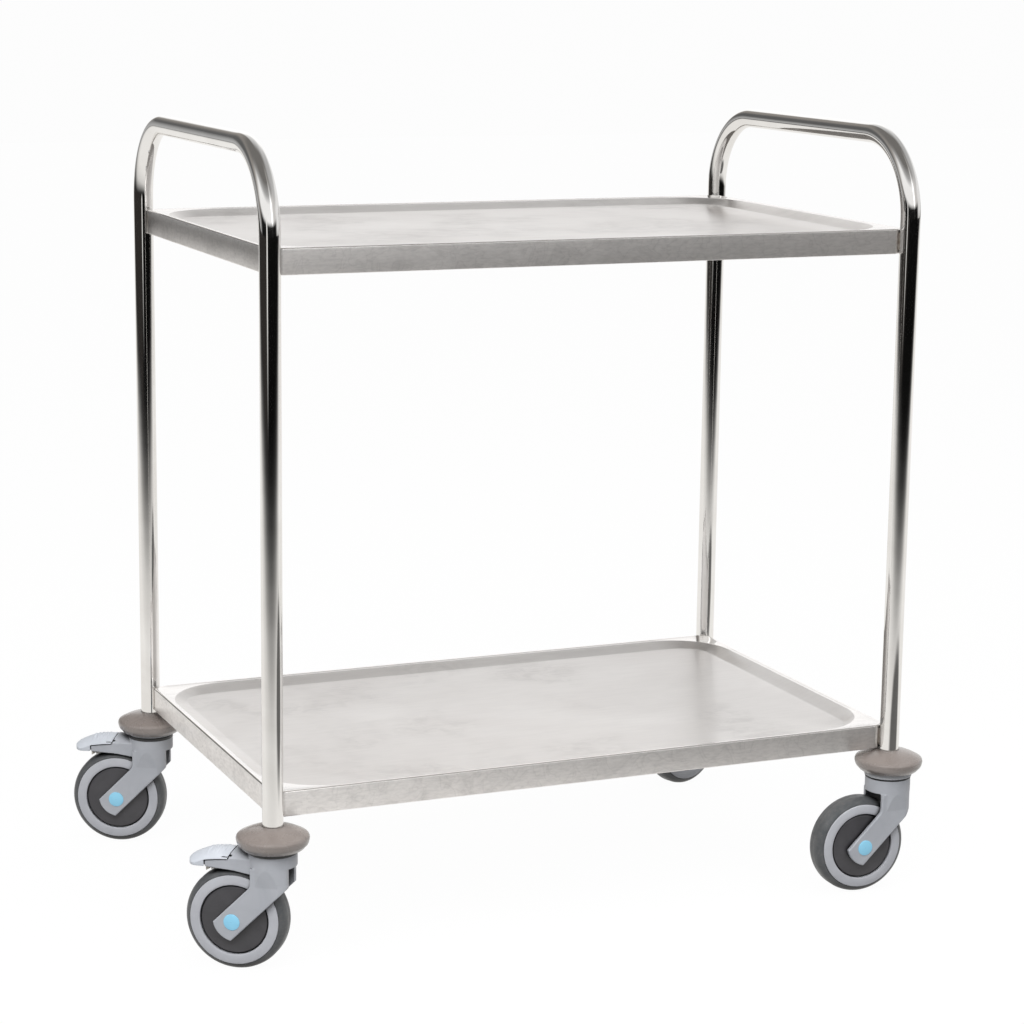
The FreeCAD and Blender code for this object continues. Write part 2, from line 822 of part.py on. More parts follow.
def wheel_bearings():
    end = hub_width / 2
    rings = []
    for side in (1, -1):
        ring = Part.makeCylinder(bearing_radius, bearing_length, at(0, end - bearing_length, 0), ALONG_Y)
        bore = Part.makeCylinder(axle_radius + axle_clearance, hub_width, at(0, 0, 0), ALONG_Y)
        ring = ring.cut(bore)
        rings.append(ring if side > 0 else ring.mirror(at(0, 0, 0), ALONG_Y))
    return Part.makeCompound(rings)


def thread_guards():
    edge = pocket_radius - guard_gap
    inside = guard_edge - guard_thickness
    bore = axle_radius + axle_clearance
    boss_top = leg_inner - guard_boss_gap
    dome_at_boss = guard_edge + guard_dome * (1 - (guard_boss_radius / edge) ** 2)
    halfway = (edge + guard_boss_radius) / 2
    dome_mid = guard_edge + guard_dome * (1 - (halfway / edge) ** 2)
    rings = []
    for side in (1, -1):
        def point(radius, distance):
            return at(radius, side * distance, 0)

        rings.append(turned_across([
            segment(point(bore, hub_width / 2 + guard_boss_gap), point(bore, boss_top)),
            segment(point(bore, boss_top), point(guard_boss_radius, boss_top)),
            segment(point(guard_boss_radius, boss_top), point(guard_boss_radius, dome_at_boss)),
            arc(point(guard_boss_radius, dome_at_boss), point(halfway, dome_mid), point(edge, guard_edge)),
            segment(point(edge, guard_edge), point(edge, inside)),
            segment(point(edge, inside), point(hub_radius + guard_gap, inside + guard_dome / 2)),
            segment(point(hub_radius + guard_gap, inside + guard_dome / 2), point(bore, hub_width / 2 + guard_boss_gap)),
        ]))
    return Part.makeCompound(rings)


def axle():
    seat = leg_outer - axle_recess_depth
    shaft = cross_rod(axle_radius, seat, 0, 0)
    head = Part.makeCylinder(axle_head_radius, axle_head_height, at(0, seat, 0), ALONG_Y)
    nut = head.mirror(at(0, 0, 0), ALONG_Y)
    return shaft.fuse([head, nut])


def axle_caps():
    plug = axle_recess_radius - cap_plug_clearance
    base = leg_outer
    rise = cap_height - cap_edge
    dome_radius = (cap_radius ** 2 + rise ** 2) / (2 * rise)
    half_angle = math.asin(cap_radius / dome_radius) / 2
    dome_mid = base + cap_height - dome_radius * (1 - math.cos(half_angle))
    shoulder = at(dome_radius * math.sin(half_angle), dome_mid, 0)
    cap = turned_across([
        segment(at(0, base - cap_plug_height, 0), at(plug, base - cap_plug_height, 0)),
        segment(at(plug, base - cap_plug_height, 0), at(plug, base, 0)),
        segment(at(plug, base, 0), at(cap_radius, base, 0)),
        segment(at(cap_radius, base, 0), at(cap_radius, base + cap_edge, 0)),
        arc(at(cap_radius, base + cap_edge, 0), shoulder, at(0, base + cap_height, 0)),
        segment(at(0, base + cap_height, 0), at(0, base - cap_plug_height, 0)),
    ])
    return Part.makeCompound([cap, cap.mirror(at(0, 0, 0), ALONG_Y)])


def placed(shape, corner):
    # Turns a castor piece to its swivel angle and sets it under its tube
    x, y, swivel, lift = CORNERS[corner]
    copy = shape.copy()
    copy.rotate(at(0, 0, 0), UP, 180 + swivel)
    copy.translate(at(x, y, 0))
    return copy


def on_axle(shape):
    copy = shape.copy()
    copy.translate(at(trail, 0, wheel_radius))
    return copy


save(end_frame(-half_x), "left_end_frame")
save(end_frame(half_x), "right_end_frame")
save(welded_tray(upper_rim), "upper_tray")
save(welded_tray(lower_rim), "lower_tray")

save(Part.makeCompound([placed(expander(), corner) for corner in CORNERS]), "tube_expanders")
for name in CORNERS:
    braked = name[0] == "l"
    save(placed(bumper(CORNERS[name][3]), name), "bumper_" + name)
    save(placed(stem(), name), "stem_" + name)
    save(placed(collar(), name), "collar_" + name)
    save(placed(swivel_balls(), name), "swivel_balls_" + name)
    save(placed(brake_fork() if braked else fork(), name), "fork_" + name)
    save(placed(on_axle(axle()), name), "axle_" + name)
    save(placed(on_axle(axle_caps()), name), "axle_caps_" + name)
    save(placed(on_axle(thread_guards()), name), "thread_guards_" + name)
    save(placed(on_axle(wheel_core()), name), "wheel_core_" + name)
    save(placed(on_axle(wheel_bearings()), name), "wheel_bearings_" + name)
    save(placed(on_axle(tyre()), name), "tyre_" + name)
    if braked:
        save(placed(brake_pin(), name), "brake_pin_" + name)
        save(placed(pedal(), name), "brake_pedal_" + name)
        save(placed(brake_shoe(), name), "brake_shoe_" + name)
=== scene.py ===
import bmesh
import bpy
import json
import math
from mathutils import Matrix, Vector


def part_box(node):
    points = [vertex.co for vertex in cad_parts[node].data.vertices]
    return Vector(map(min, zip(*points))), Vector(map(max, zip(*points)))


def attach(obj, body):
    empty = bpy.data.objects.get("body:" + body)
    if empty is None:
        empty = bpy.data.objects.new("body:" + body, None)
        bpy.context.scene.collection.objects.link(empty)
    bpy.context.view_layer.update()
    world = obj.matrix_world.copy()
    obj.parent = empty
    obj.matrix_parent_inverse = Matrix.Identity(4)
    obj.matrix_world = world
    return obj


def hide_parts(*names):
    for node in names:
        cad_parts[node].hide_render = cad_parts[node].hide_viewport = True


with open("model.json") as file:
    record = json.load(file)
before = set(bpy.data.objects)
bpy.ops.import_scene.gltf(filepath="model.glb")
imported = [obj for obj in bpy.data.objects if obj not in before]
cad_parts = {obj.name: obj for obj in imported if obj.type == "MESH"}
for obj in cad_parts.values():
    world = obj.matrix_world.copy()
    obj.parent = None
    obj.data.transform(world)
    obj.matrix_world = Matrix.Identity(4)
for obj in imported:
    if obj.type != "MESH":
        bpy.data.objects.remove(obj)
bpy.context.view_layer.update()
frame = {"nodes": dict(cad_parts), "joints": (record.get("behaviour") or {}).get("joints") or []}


# End frames: two 25 mm stainless tubes, each bent cold round a former into an inverted U
# whose top is the push handle. They are polished along their length after bending, so
# the mirror finish keeps a faint lengthwise grain and a slight ripple in the bends.
tube_radius = 0.0125
tube_wall = 0.0015
tube_x = 0.416
tube_y = 0.260
tube_foot = 0.160
handle_z = 0.9645
bend_radius = 0.100
upright_steps = 24
bend_steps = 32
handle_steps = 8
ring_points = 64
corner_signs = ((1, 1), (-1, 1), (-1, -1), (1, -1))


def skin(name, rings, closed=True, caps=False):
    # Skins rings of equal count. The UV layer is in metres, round each ring and from ring to ring
    count = len(rings[0])
    widest = max(rings, key=lambda ring: sum((ring[i] - ring[i - 1]).length for i in range(count)))
    around = [0.0]
    for i in range(count):
        around.append(around[-1] + (widest[(i + 1) % count] - widest[i]).length)
    along = [0.0]
    for before, after in zip(rings, rings[1:]):
        along.append(along[-1] + sum((b - a).length for a, b in zip(before, after)) / count)
    faces = []
    places = []
    for row in range(len(rings) - 1):
        for column in range(count if closed else count - 1):
            right = (column + 1) % count
            low = row * count
            high = low + count
            faces.append((low + column, low + right, high + right, high + column))
            places += [(around[column], along[row]), (around[column + 1], along[row])]
            places += [(around[column + 1], along[row + 1]), (around[column], along[row + 1])]
    if caps:
        for row in (0, len(rings) - 1):
            faces.append(tuple(range(row * count, row * count + count)))
            places += [(p.x, p.y) for p in rings[row]]
    mesh = bpy.data.meshes.new(name)
    mesh.from_pydata([tuple(p) for ring in rings for p in ring], [], faces)
    layer = mesh.uv_layers.new(name="surface")
    for loop, place in zip(layer.data, places):
        loop.uv = place
    mesh.polygons.foreach_set("use_smooth", [True] * len(mesh.polygons))
    shape = bmesh.new()
    shape.from_mesh(mesh)
    bmesh.ops.recalc_face_normals(shape, faces=shape.faces)
    shape.to_mesh(mesh)
    shape.free()
    mesh.set_sharp_from_angle(angle=math.radians(38))
    return bpy.data.objects.new(name, mesh)


def shown(piece, body, slot, material, *nodes):
    # Puts a piece in the scene on its body, in place of the solids it stands for
    bpy.context.scene.collection.objects.link(piece)
    piece.data.materials.clear()
    piece.data.materials.append(material)
    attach(piece, body)
    if nodes:
        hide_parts(*nodes)
    return piece


def bent_tube(name, x):
    # Places along the tube, each with the direction that points to the outside of its bend
    inner_y = tube_y - bend_radius
    spring_z = handle_z - bend_radius
    half = []
    for step in range(upright_steps + 1):
        height = tube_foot + (spring_z - tube_foot) * step / upright_steps
        half.append((Vector((x, -tube_y, height)), Vector((0, -1, 0))))
    for step in range(1, bend_steps + 1):
        turn = math.pi / 2 * step / bend_steps
        out = Vector((0, -math.cos(turn), math.sin(turn)))
        half.append((Vector((x, -inner_y, spring_z)) + out * bend_radius, out))
    for step in range(1, handle_steps + 1):
        half.append((Vector((x, -inner_y * (1 - step / handle_steps), handle_z)), Vector((0, 0, 1))))
    places = half + [(Vector((p.x, -p.y, p.z)), Vector((0, -o.y, o.z))) for p, o in half[-2::-1]]
    rings = []
    for centre, out in places:
        ring = []
        for step in range(ring_points):
            turn = 2 * math.pi * step / ring_points
            ring.append(centre + (Vector((math.sin(turn), 0, 0)) + out * math.cos(turn)) * tube_radius)
        rings.append(ring)

    def bore(ring, centre):
        return [centre + (p - centre) * (1 - tube_wall / tube_radius) for p in ring]

    return skin(name, [bore(rings[0], places[0][0])] + rings + [bore(rings[-1], places[-1][0])])


def blank_material(name):
    material = bpy.data.materials.new(name)
    material.use_nodes = True
    return material, material.node_tree, material.node_tree.nodes["Principled BSDF"]


def node(tree, kind, **inputs):
    made = tree.nodes.new("ShaderNode" + kind)
    for key, value in inputs.items():
        if hasattr(made, key):
            setattr(made, key, value)
        else:
            made.inputs[key].default_value = value
    return made


def stretched(tree, output, scale):
    mapping = node(tree, "Mapping", Scale=scale)
    tree.links.new(output, mapping.inputs["Vector"])
    return mapping.outputs["Vector"]


def noise(tree, vector, scale, detail=3.0, roughness=0.5, distortion=0.0):
    made = node(tree, "TexNoise", Scale=scale, Detail=detail, Roughness=roughness, Distortion=distortion)
    tree.links.new(vector, made.inputs["Vector"])
    return made.outputs["Fac"]


def ramp(tree, source, *stops):
    made = node(tree, "ValToRGB")
    while len(made.color_ramp.elements) < len(stops):
        made.color_ramp.elements.new(0.5)
    for element, (position, colour) in zip(made.color_ramp.elements, stops):
        element.position = position
        element.color = (*colour, 1) if isinstance(colour, tuple) else (colour, colour, colour, 1)
    tree.links.new(source, made.inputs["Fac"])
    return made.outputs["Color"]


def blend(tree, kind, share, first, second):
    made = node(tree, "Mix", data_type="RGBA", blend_type=kind)
    for value, socket in ((share, made.inputs["Factor"]), (first, made.inputs[6]), (second, made.inputs[7])):
        if isinstance(value, bpy.types.NodeSocket):
            tree.links.new(value, socket)
        else:
            socket.default_value = (*value, 1) if isinstance(value, tuple) else value
    return made.outputs[2]


def bump(tree, height, strength, distance, before=None):
    made = node(tree, "Bump", Strength=strength, Distance=distance)
    tree.links.new(height, made.inputs["Height"])
    if before:
        tree.links.new(before, made.inputs["Normal"])
    return made.outputs["Normal"]


def joined(tree, surface, **sources):
    for key, value in sources.items():
        tree.links.new(value, surface.inputs[key.replace("_", " ")])


def tube_polish():
    material, tree, surface = blank_material("polished_tube")
    surface.inputs["Metallic"].default_value = 1.0
    place = node(tree, "UVMap", uv_map="surface").outputs["UV"]
    grain = noise(tree, stretched(tree, place, (900, 10, 1)), 1.0, 2.0)
    ripple = noise(tree, stretched(tree, place, (30, 11, 1)), 1.0, 2.0)
    film = noise(tree, node(tree, "TexCoord").outputs["Object"], 9.0, 4.0, 0.6, 0.6)
    gloss = ramp(tree, grain, (0.3, 0.055), (0.75, 0.08))
    tone = ramp(tree, film, (0.35, (0.80, 0.785, 0.765)), (0.65, (0.88, 0.87, 0.855)))
    relief = bump(tree, grain, 0.01, 0.0002)
    relief = bump(tree, ripple, 0.28, 0.0006, relief)
    joined(tree, surface, Base_Color=tone, Roughness=gloss, Normal=relief)
    return material


tube_steel = tube_polish()
shown(bent_tube("left_frame_tube", -tube_x), "cart", "frame_steel", tube_steel, "left_end_frame")
shown(bent_tube("right_frame_tube", tube_x), "cart", "frame_steel", tube_steel, "right_end_frame")


# Trays: each one is pressed from a single sheet of satin stainless steel. The rim slopes down to
# a sunken floor, the skirt turns down from a rounded edge and ends in a hem, and each corner is
# pressed into a flat plateau with a steep conical fall to the floor, notched round its tube.
tray_half_x = 0.415
tray_half_y = 0.255
tray_rims = {"upper_tray": 0.852, "lower_tray": 0.215}
tray_skirt = 0.031
sheet = 0.0012
edge_round = 0.0022
rim_strip = 0.0056
recess_run = 0.031
recess_depth = 0.009
floor_corner = 0.036
crest_corner = 0.088
notch_clearance = 0.0003
hem_width = 0.010
lip_radius = 0.004
strip_fall = 0.0004
crest_fall = 0.0009
notch_softness = 0.007
notch_spread = math.radians(6.5)
rubbed_edge = 0.0014
weld_radius = 0.0021
weld_inset = 0.0045
weld_ripples = 15
weld_steps = 60


def corner_rays():
    # Directions from the centre of a corner's crest out to the notch, closer together at the notch
    rise = tube_y - tray_half_y + rim_strip + crest_corner
    run = tube_x - tray_half_x + rim_strip + crest_corner
    middle = math.atan2(rise, run)
    plain, dense = 14, 26
    shares = [i / plain for i in range(plain + 1)]
    shares += [1 + i / dense for i in range(1, dense + 1)]
    shares += [2 + i / plain for i in range(1, plain + 1)]
    stops = (0.0, middle - notch_spread, middle + notch_spread, math.pi / 2)
    return [stops[int(s)] + (stops[min(int(s) + 1, 3)] - stops[int(s)]) * (s - int(s)) for s in shares]


def notched(angle, inset):
    # Where a ray meets the tray's outline: its straight side, or the notch round the tube
    x = tray_half_x - rim_strip - crest_corner
    y = tray_half_y - rim_strip - crest_corner
    straight = 1e9
    if math.cos(angle) > 1e-9:
        straight = (tray_half_x - inset - x) / math.cos(angle)
    if math.sin(angle) > 1e-9:
        straight = min(straight, (tray_half_y - inset - y) / math.sin(angle))
    to_tube = Vector((tube_x - x, tube_y - y))
    ahead = to_tube.x * math.cos(angle) + to_tube.y * math.sin(angle)
    aside = to_tube.length_squared - ahead * ahead
    radius = tube_radius + notch_clearance + inset
    if aside >= radius * radius:
        return straight
    notch = ahead - math.sqrt(radius * radius - aside)
    softness = max(notch_softness - abs(straight - notch), 0) / notch_softness
    return min(straight, notch) - softness * softness * notch_softness / 4


def floored(angle):
    # Where a ray meets the outline of the sunken floor
    reach = recess_run - rim_strip
    offset = crest_corner - reach - floor_corner
    side = crest_corner - reach
    straight = min(side / max(math.cos(angle), 1e-9), side / max(math.sin(angle), 1e-9))
    x, y = straight * math.cos(angle), straight * math.sin(angle)
    if x <= offset or y <= offset:
        return straight
    ahead = offset * (math.cos(angle) + math.sin(angle))
    aside = 2 * offset * offset - ahead * ahead
    return ahead + math.sqrt(floor_corner ** 2 - aside)


def around_corners(reach, z):
    # One ring round the tray: each corner's rays, joined by the straight sides
    x = tray_half_x - rim_strip - crest_corner
    y = tray_half_y - rim_strip - crest_corner
    ring = []
    for sign_x, sign_y in corner_signs:
        corner = []
        for angle in corner_rays():
            length = reach(angle)
            height = z(angle) if callable(z) else z
            aside, ahead = x + length * math.cos(angle), y + length * math.sin(angle)
            corner.append(Vector((sign_x * aside, sign_y * ahead, height)))
        ring += corner if sign_x * sign_y > 0 else corner[::-1]
    return ring


def pressed_tray(name, rim):
    foot = rim - tray_skirt
    strip_z = rim - strip_fall
    crest_z = rim - crest_fall
    floor_z = rim - recess_depth
    rings = []

    def outline(inset, z):
        rings.append(around_corners(lambda a: notched(a, inset), z))

    def slope(share, fall, drop):
        def reach(angle):
            return crest_corner * (1 - share) + floored(angle) * share

        rings.append(around_corners(reach, crest_z + (floor_z - crest_z) * fall - drop))

    # Underside, from the middle of the floor out to the hem
    for share, fall in ((1.0, 1.0), (0.0, 0.0)):
        slope(share, fall, sheet)
    outline(rim_strip * 0.6, strip_z - sheet)
    outline(sheet, rim - 2 * edge_round)
    outline(sheet, foot + sheet)
    outline(hem_width, foot + sheet)
    outline(hem_width, foot + sheet / 2)
    outline(hem_width - sheet / 2, foot)
    # Outside, from the hem up over the rounded edge
    for step in range(5):
        turn = math.pi / 2 * step / 4
        outline(sheet * (1 - math.sin(turn)), foot + sheet * (1 - math.cos(turn)))
    for step in range(7):
        turn = math.pi / 2 * step / 6
        outline(edge_round * (1 - math.cos(turn)), rim - edge_round * (1 - math.sin(turn)))
    outline(rim_strip - 0.0012, strip_z + 0.0001)
    outline(rim_strip - 0.0006, strip_z - 0.0001)
    # Down the slope to the floor, with a soft crest and a soft bend at its foot
    for share in (0.0, 0.03, 0.07, 0.12, 0.5, 0.86, 0.91, 0.96, 1.0):
        top = max(0.12 - share, 0) ** 2 / 0.24
        foot_bend = max(share - 0.86, 0) ** 2 / 0.28
        slope(share, (share - 0.06 + top - foot_bend) / 0.87, 0)
    return skin(name, rings, True, True)


def graining(tray, rim):
    # Marks the way across the sheet's grain, which runs along its length, and the rubbed bright rim
    rubbed = tray.data.attributes.new("rim", "FLOAT", "POINT")
    for mark, vertex in zip(rubbed.data, tray.data.vertices):
        mark.value = 1.0 if vertex.co.z > rim - rubbed_edge else 0.0
    layer = tray.data.uv_layers.new(name="across_grain")
    for face in tray.data.polygons:
        if abs(face.normal.z) > 0.3:
            across, along = 1, 0
        elif abs(face.normal.y) > abs(face.normal.x):
            across, along = 2, 0
        else:
            across, along = 1, 2
        for index in face.loop_indices:
            point = tray.data.vertices[tray.data.loops[index].vertex_index].co
            layer.data[index].uv = (point[across], point[along])


def worked(tree, operation, *values):
    made = node(tree, "Math", operation=operation)
    for value, socket in zip(values, made.inputs):
        if isinstance(value, bpy.types.NodeSocket):
            tree.links.new(value, socket)
        else:
            socket.default_value = value
    return made.outputs[0]


def apart(tree, vector):
    made = node(tree, "SeparateXYZ")
    tree.links.new(vector, made.inputs[0])
    return made.outputs


def smooth(tree, value, low, high):
    made = node(tree, "MapRange", interpolation_type="SMOOTHSTEP")
    made.inputs["From Min"].default_value = low
    made.inputs["From Max"].default_value = high
    tree.links.new(value, made.inputs["Value"])
    return made.outputs["Result"]


def tray_satin():
    material, tree, surface = blank_material("satin_sheet")
    surface.inputs["Metallic"].default_value = 1.0
    surface.inputs["Anisotropic"].default_value = 0.93
    place = node(tree, "TexCoord").outputs["Object"]
    grain = noise(tree, stretched(tree, place, (14, 900, 900)), 1.0, 4.0)
    cloud = noise(tree, place, 4.0, 4.0, 0.55, 0.8)
    smudge = noise(tree, place, 38.0, 4.0, 0.6, 0.8)
    wiped = node(tree, "Mapping", Rotation=(0.5, 0.9, 0.6), Scale=(22, 170, 60))
    tree.links.new(place, wiped.inputs["Vector"])
    wipe = noise(tree, wiped.outputs["Vector"], 1.0, 3.0, 0.6, 0.5)
    handled = ramp(tree, noise(tree, place, 7.0, 2.0), (0.46, 0.0), (0.60, 1.0))
    polished = node(tree, "Attribute", attribute_name="rim").outputs["Fac"]
    tone = ramp(tree, cloud, (0.32, (0.925, 0.895, 0.875)), (0.68, (0.955, 0.93, 0.91)))
    smear = blend(tree, "MIX", handled, (1.0, 1.0, 1.0), ramp(tree, smudge, (0.38, 0.80), (0.58, 1.0)))
    smear = blend(tree, "MULTIPLY", 0.6, smear, ramp(tree, wipe, (0.35, 0.86), (0.62, 1.0)))
    tone = blend(tree, "MULTIPLY", 0.40, tone, smear)
    faces = apart(tree, node(tree, "NewGeometry").outputs["Normal"])[2]
    upright = worked(tree, "SUBTRACT", 1.0, smooth(tree, worked(tree, "ABSOLUTE", faces), 0.1, 0.4))
    spots = noise(tree, stretched(tree, place, (90, 90, 340)), 1.0, 5.0, 0.65)
    mottle = ramp(tree, spots, (0.36, 0.84), (0.60, 1.0))
    finger = ramp(tree, noise(tree, place, 24.0, 1.5, 0.5, 2.6), (0.50, 1.0), (0.56, 0.80), (0.60, 1.0))
    marks = blend(tree, "MULTIPLY", 0.6, mottle, finger)
    tone = blend(tree, "MULTIPLY", worked(tree, "MULTIPLY", upright, 0.75), tone, marks)
    gloss = ramp(tree, cloud, (0.3, 0.34), (0.7, 0.31))
    dulled = blend(tree, "MULTIPLY", 1.0, handled, (0.05, 0.05, 0.05))
    gloss = blend(tree, "ADD", dulled, gloss, ramp(tree, wipe, (0.40, 1.0), (0.62, 0.0)))
    gloss = blend(tree, "MIX", polished, gloss, (0.17, 0.17, 0.17))
    relief = bump(tree, grain, 0.05, 0.0002)
    relief = bump(tree, cloud, 0.04, 0.001, relief)
    across = node(tree, "Tangent", direction_type="UV_MAP", uv_map="across_grain").outputs["Tangent"]
    joined(tree, surface, Base_Color=tone, Roughness=gloss, Normal=relief, Tangent=across)
    return material


def weld_tint():
    material, tree, surface = blank_material("weld_bead")
    surface.inputs["Metallic"].default_value = 1.0
    place = node(tree, "TexCoord").outputs["Object"]
    heat = noise(tree, stretched(tree, place, (40, 40, 160)), 1.0, 3.0)
    tone = ramp(tree, heat, (0.3, (0.24, 0.20, 0.17)), (0.55, (0.42, 0.38, 0.34)), (0.75, (0.60, 0.58, 0.55)))
    joined(tree, surface, Base_Color=tone, Roughness=ramp(tree, heat, (0.3, 0.32), (0.7, 0.5)))
    return material


def weld_bead(name, foot, height):
    # A thin rippled bead laid up the groove between the notch and the tube
    rings = []
    for step in range(weld_steps + 1):
        share = step / weld_steps
        swell = 1 + 0.10 * math.sin(share * 2 * math.pi * weld_ripples)
        radius = weld_radius * swell * min(1, 0.25 + 6 * min(share, 1 - share))
        centre = foot + Vector((0, 0, height * share))
        turns = [i * math.pi / 6 for i in range(12)]
        rings.append([centre + Vector((math.cos(t), math.sin(t), 0)) * radius for t in turns])
    return skin(name, rings, True, True)


sheet_steel = tray_satin()
weld_steel = weld_tint()
for tray_name, rim in tray_rims.items():
    tray = pressed_tray(tray_name + "_sheet", rim)
    graining(tray, rim)
    shown(tray, "cart", "tray_steel", sheet_steel, tray_name)
    reach = tube_radius + notch_clearance + lip_radius
    side_run = math.sqrt(reach ** 2 - (tube_x - tray_half_x + lip_radius) ** 2)
    back_run = math.sqrt(reach ** 2 - (tube_y - tray_half_y + lip_radius) ** 2)
    side = Vector((tray_half_x - lip_radius, tube_y - side_run))
    back = Vector((tube_x - back_run, tray_half_y - lip_radius))
    for number, (sign_x, sign_y) in enumerate(corner_signs):
        for which, lip in (("side", side), ("end", back)):
            axis = Vector((tube_x, tube_y))
            touch = axis + (lip - axis).normalized() * (tube_radius + notch_clearance / 2)
            foot = Vector((touch.x * sign_x, touch.y * sign_y, rim - tray_skirt + weld_inset))
            name = "{}_bead_{}_{}".format(tray_name, which, number)
            bead = weld_bead(name, foot, tray_skirt - 2 * weld_inset)
            shown(bead, "cart", "tray_steel", weld_steel)


# Bumper discs: grey-brown rubber lenses pushed over the foot of each tube. They are compression
# moulded, with a soft shoulder above the rim, a faint flash line round it and a matt bloom.
corners = ("lf", "lb", "rf", "rb")
record_joints = {joint["name"]: joint for joint in frame["joints"]}
bumper_radius = 0.0434
bumper_top = 0.0153
bumper_grip = 0.0001


def turned(name, outline, turns=96, across=False, closed=False):
    # Turns an outline of radius and height about Z, or about Y where it goes across
    rings = []
    for radius, height in outline:
        ring = []
        for step in range(turns):
            turn = 2 * math.pi * step / turns
            x, y = radius * math.cos(turn), radius * math.sin(turn)
            ring.append(Vector((x, height, y)) if across else Vector((x, y, height)))
        rings.append(ring)
    if closed:
        rings.append([p.copy() for p in rings[0]])
    return skin(name, rings)


def curve(start, middle, end, steps):
    # Points on the arc through three places
    (ax, ay), (bx, by), (cx, cy) = start, middle, end
    d = 2 * (ax * (by - cy) + bx * (cy - ay) + cx * (ay - by))
    a, b, c = ax * ax + ay * ay, bx * bx + by * by, cx * cx + cy * cy
    x = (a * (by - cy) + b * (cy - ay) + c * (ay - by)) / d
    y = (a * (cx - bx) + b * (ax - cx) + c * (bx - ax)) / d
    first = math.atan2(ay - y, ax - x)
    last = math.atan2(cy - y, cx - x)
    while last - first > math.pi:
        last -= 2 * math.pi
    while first - last > math.pi:
        last += 2 * math.pi
    radius = math.hypot(ax - x, ay - y)
    turns = [first + (last - first) * i / steps for i in range(steps + 1)]
    return [(x + radius * math.cos(t), y + radius * math.sin(t)) for t in turns]


def bumper_disc(corner):
    low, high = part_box("bumper_" + corner)
    swivel = record_joints["swivel_" + corner]["pos_m"]
    middle = high.z - bumper_top
    bore = tube_radius + bumper_grip
    rim = bumper_radius
    outline = [(bore, middle), (bore, high.z - 0.0006), (bore + 0.0005, high.z - 0.0001)]
    outline += curve((bore + 0.0012, high.z - 0.0002), (0.0270, high.z - 0.0036), (0.0392, middle + 0.0062), 20)
    outline += curve((0.0402, middle + 0.0058), (0.0425, middle + 0.0038), (rim, middle + 0.0004), 8)
    outline += [(rim, middle), (rim - 0.00025, middle - 0.0004)]
    outline += curve((rim - 0.0003, middle - 0.0008), (0.0426, middle - 0.0035), (0.0414, middle - 0.0062), 6)
    outline += [(0.0400, middle - 0.0076), (0.0374, low.z + 0.0006), (0.0366, low.z), (0.0352, low.z)]
    outline += [(0.0309, low.z + 0.0010), (0.0309, middle), (bore, middle)]
    disc = turned("bumper_disc_" + corner, outline)
    disc.data.transform(Matrix.Translation((swivel[0], swivel[1], 0)))
    return disc


def bumper_rubber():
    material, tree, surface = blank_material("bumper_rubber")
    surface.inputs["Specular IOR Level"].default_value = 0.75
    surface.inputs["Coat Weight"].default_value = 0.35
    surface.inputs["Coat Roughness"].default_value = 0.16
    place = node(tree, "TexCoord").outputs["Object"]
    cloud = noise(tree, place, 45.0, 5.0, 0.6, 0.5)
    bloom = noise(tree, place, 160.0, 4.0, 0.7)
    grain = noise(tree, place, 1400.0, 2.0)
    tone = ramp(tree, cloud, (0.3, (0.225, 0.192, 0.176)), (0.7, (0.262, 0.228, 0.210)))
    tone = blend(tree, "MULTIPLY", 0.12, tone, ramp(tree, bloom, (0.35, 0.8), (0.65, 1.0)))
    # Painted shade: the rubber darkens where the fork and tube close in round it
    shade = node(tree, "AmbientOcclusion", Distance=0.03, samples=8)
    tone = blend(tree, "MULTIPLY", 1.0, tone, ramp(tree, shade.outputs["AO"], (0.35, 0.40), (0.85, 1.0)))
    relief = bump(tree, grain, 0.02, 0.0001)
    gloss = ramp(tree, cloud, (0.3, 0.30), (0.7, 0.24))
    joined(tree, surface, Base_Color=tone, Roughness=gloss, Normal=relief)
    return material


disc_rubber = bumper_rubber()
for corner in corners:
    shown(bumper_disc(corner), "cart", "bumper_rubber", disc_rubber, "bumper_" + corner)


# Castor heads: bright zinc stems and balls between a pale moulded collar and the fork, and a black band
# round the top edge of the fork's head, painted shade for the dark gap under the bumper. The braked
# castors have the deeper band.
head_top = 0.149
shade_band_radius = 0.0292
shade_band_depths = {"lf": 0.0040, "lb": 0.0040, "rf": 0.0014, "rb": 0.0014}


def moulded(name, dark, light, gloss, speckle=1300.0, crevice_shade=0.92, reach=0.016):
    # Fine-textured plastic with uneven colour, faint scuffs and painted shade that darkens its crevices
    material, tree, surface = blank_material(name)
    place = node(tree, "TexCoord").outputs["Object"]
    cloud = noise(tree, place, 28.0, 5.0, 0.6, 0.4)
    scuff = noise(tree, stretched(tree, place, (60, 60, 420)), 1.0, 4.0, 0.7)
    grain = noise(tree, place, speckle, 2.0)
    tone = ramp(tree, cloud, (0.3, dark), (0.7, light))
    tone = blend(tree, "MULTIPLY", 0.12, tone, ramp(tree, scuff, (0.58, 1.0), (0.72, 0.55)))
    # Painted shade: the colour darkens where other surfaces close in within reach
    shade = node(tree, "AmbientOcclusion", Distance=reach, samples=8)
    painted_crevice_shade = ramp(tree, shade.outputs["AO"], (0.36, 0.0), (0.66, 1.0))
    tone = blend(tree, "MULTIPLY", crevice_shade, tone, painted_crevice_shade)
    relief = bump(tree, grain, 0.12, 0.00015)
    relief = bump(tree, scuff, 0.03, 0.0003, relief)
    rough = ramp(tree, scuff, (0.4, gloss), (0.7, gloss + 0.12))
    joined(tree, surface, Base_Color=tone, Roughness=rough, Normal=relief)
    return material


def zinc_plate():
    material, tree, surface = blank_material("zinc_plate")
    surface.inputs["Metallic"].default_value = 1.0
    place = node(tree, "TexCoord").outputs["Object"]
    cloud = noise(tree, place, 90.0, 4.0)
    tone = ramp(tree, cloud, (0.3, (0.52, 0.53, 0.54)), (0.7, (0.68, 0.69, 0.70)))
    joined(tree, surface, Base_Color=tone, Roughness=ramp(tree, cloud, (0.3, 0.42), (0.7, 0.28)))
    return material


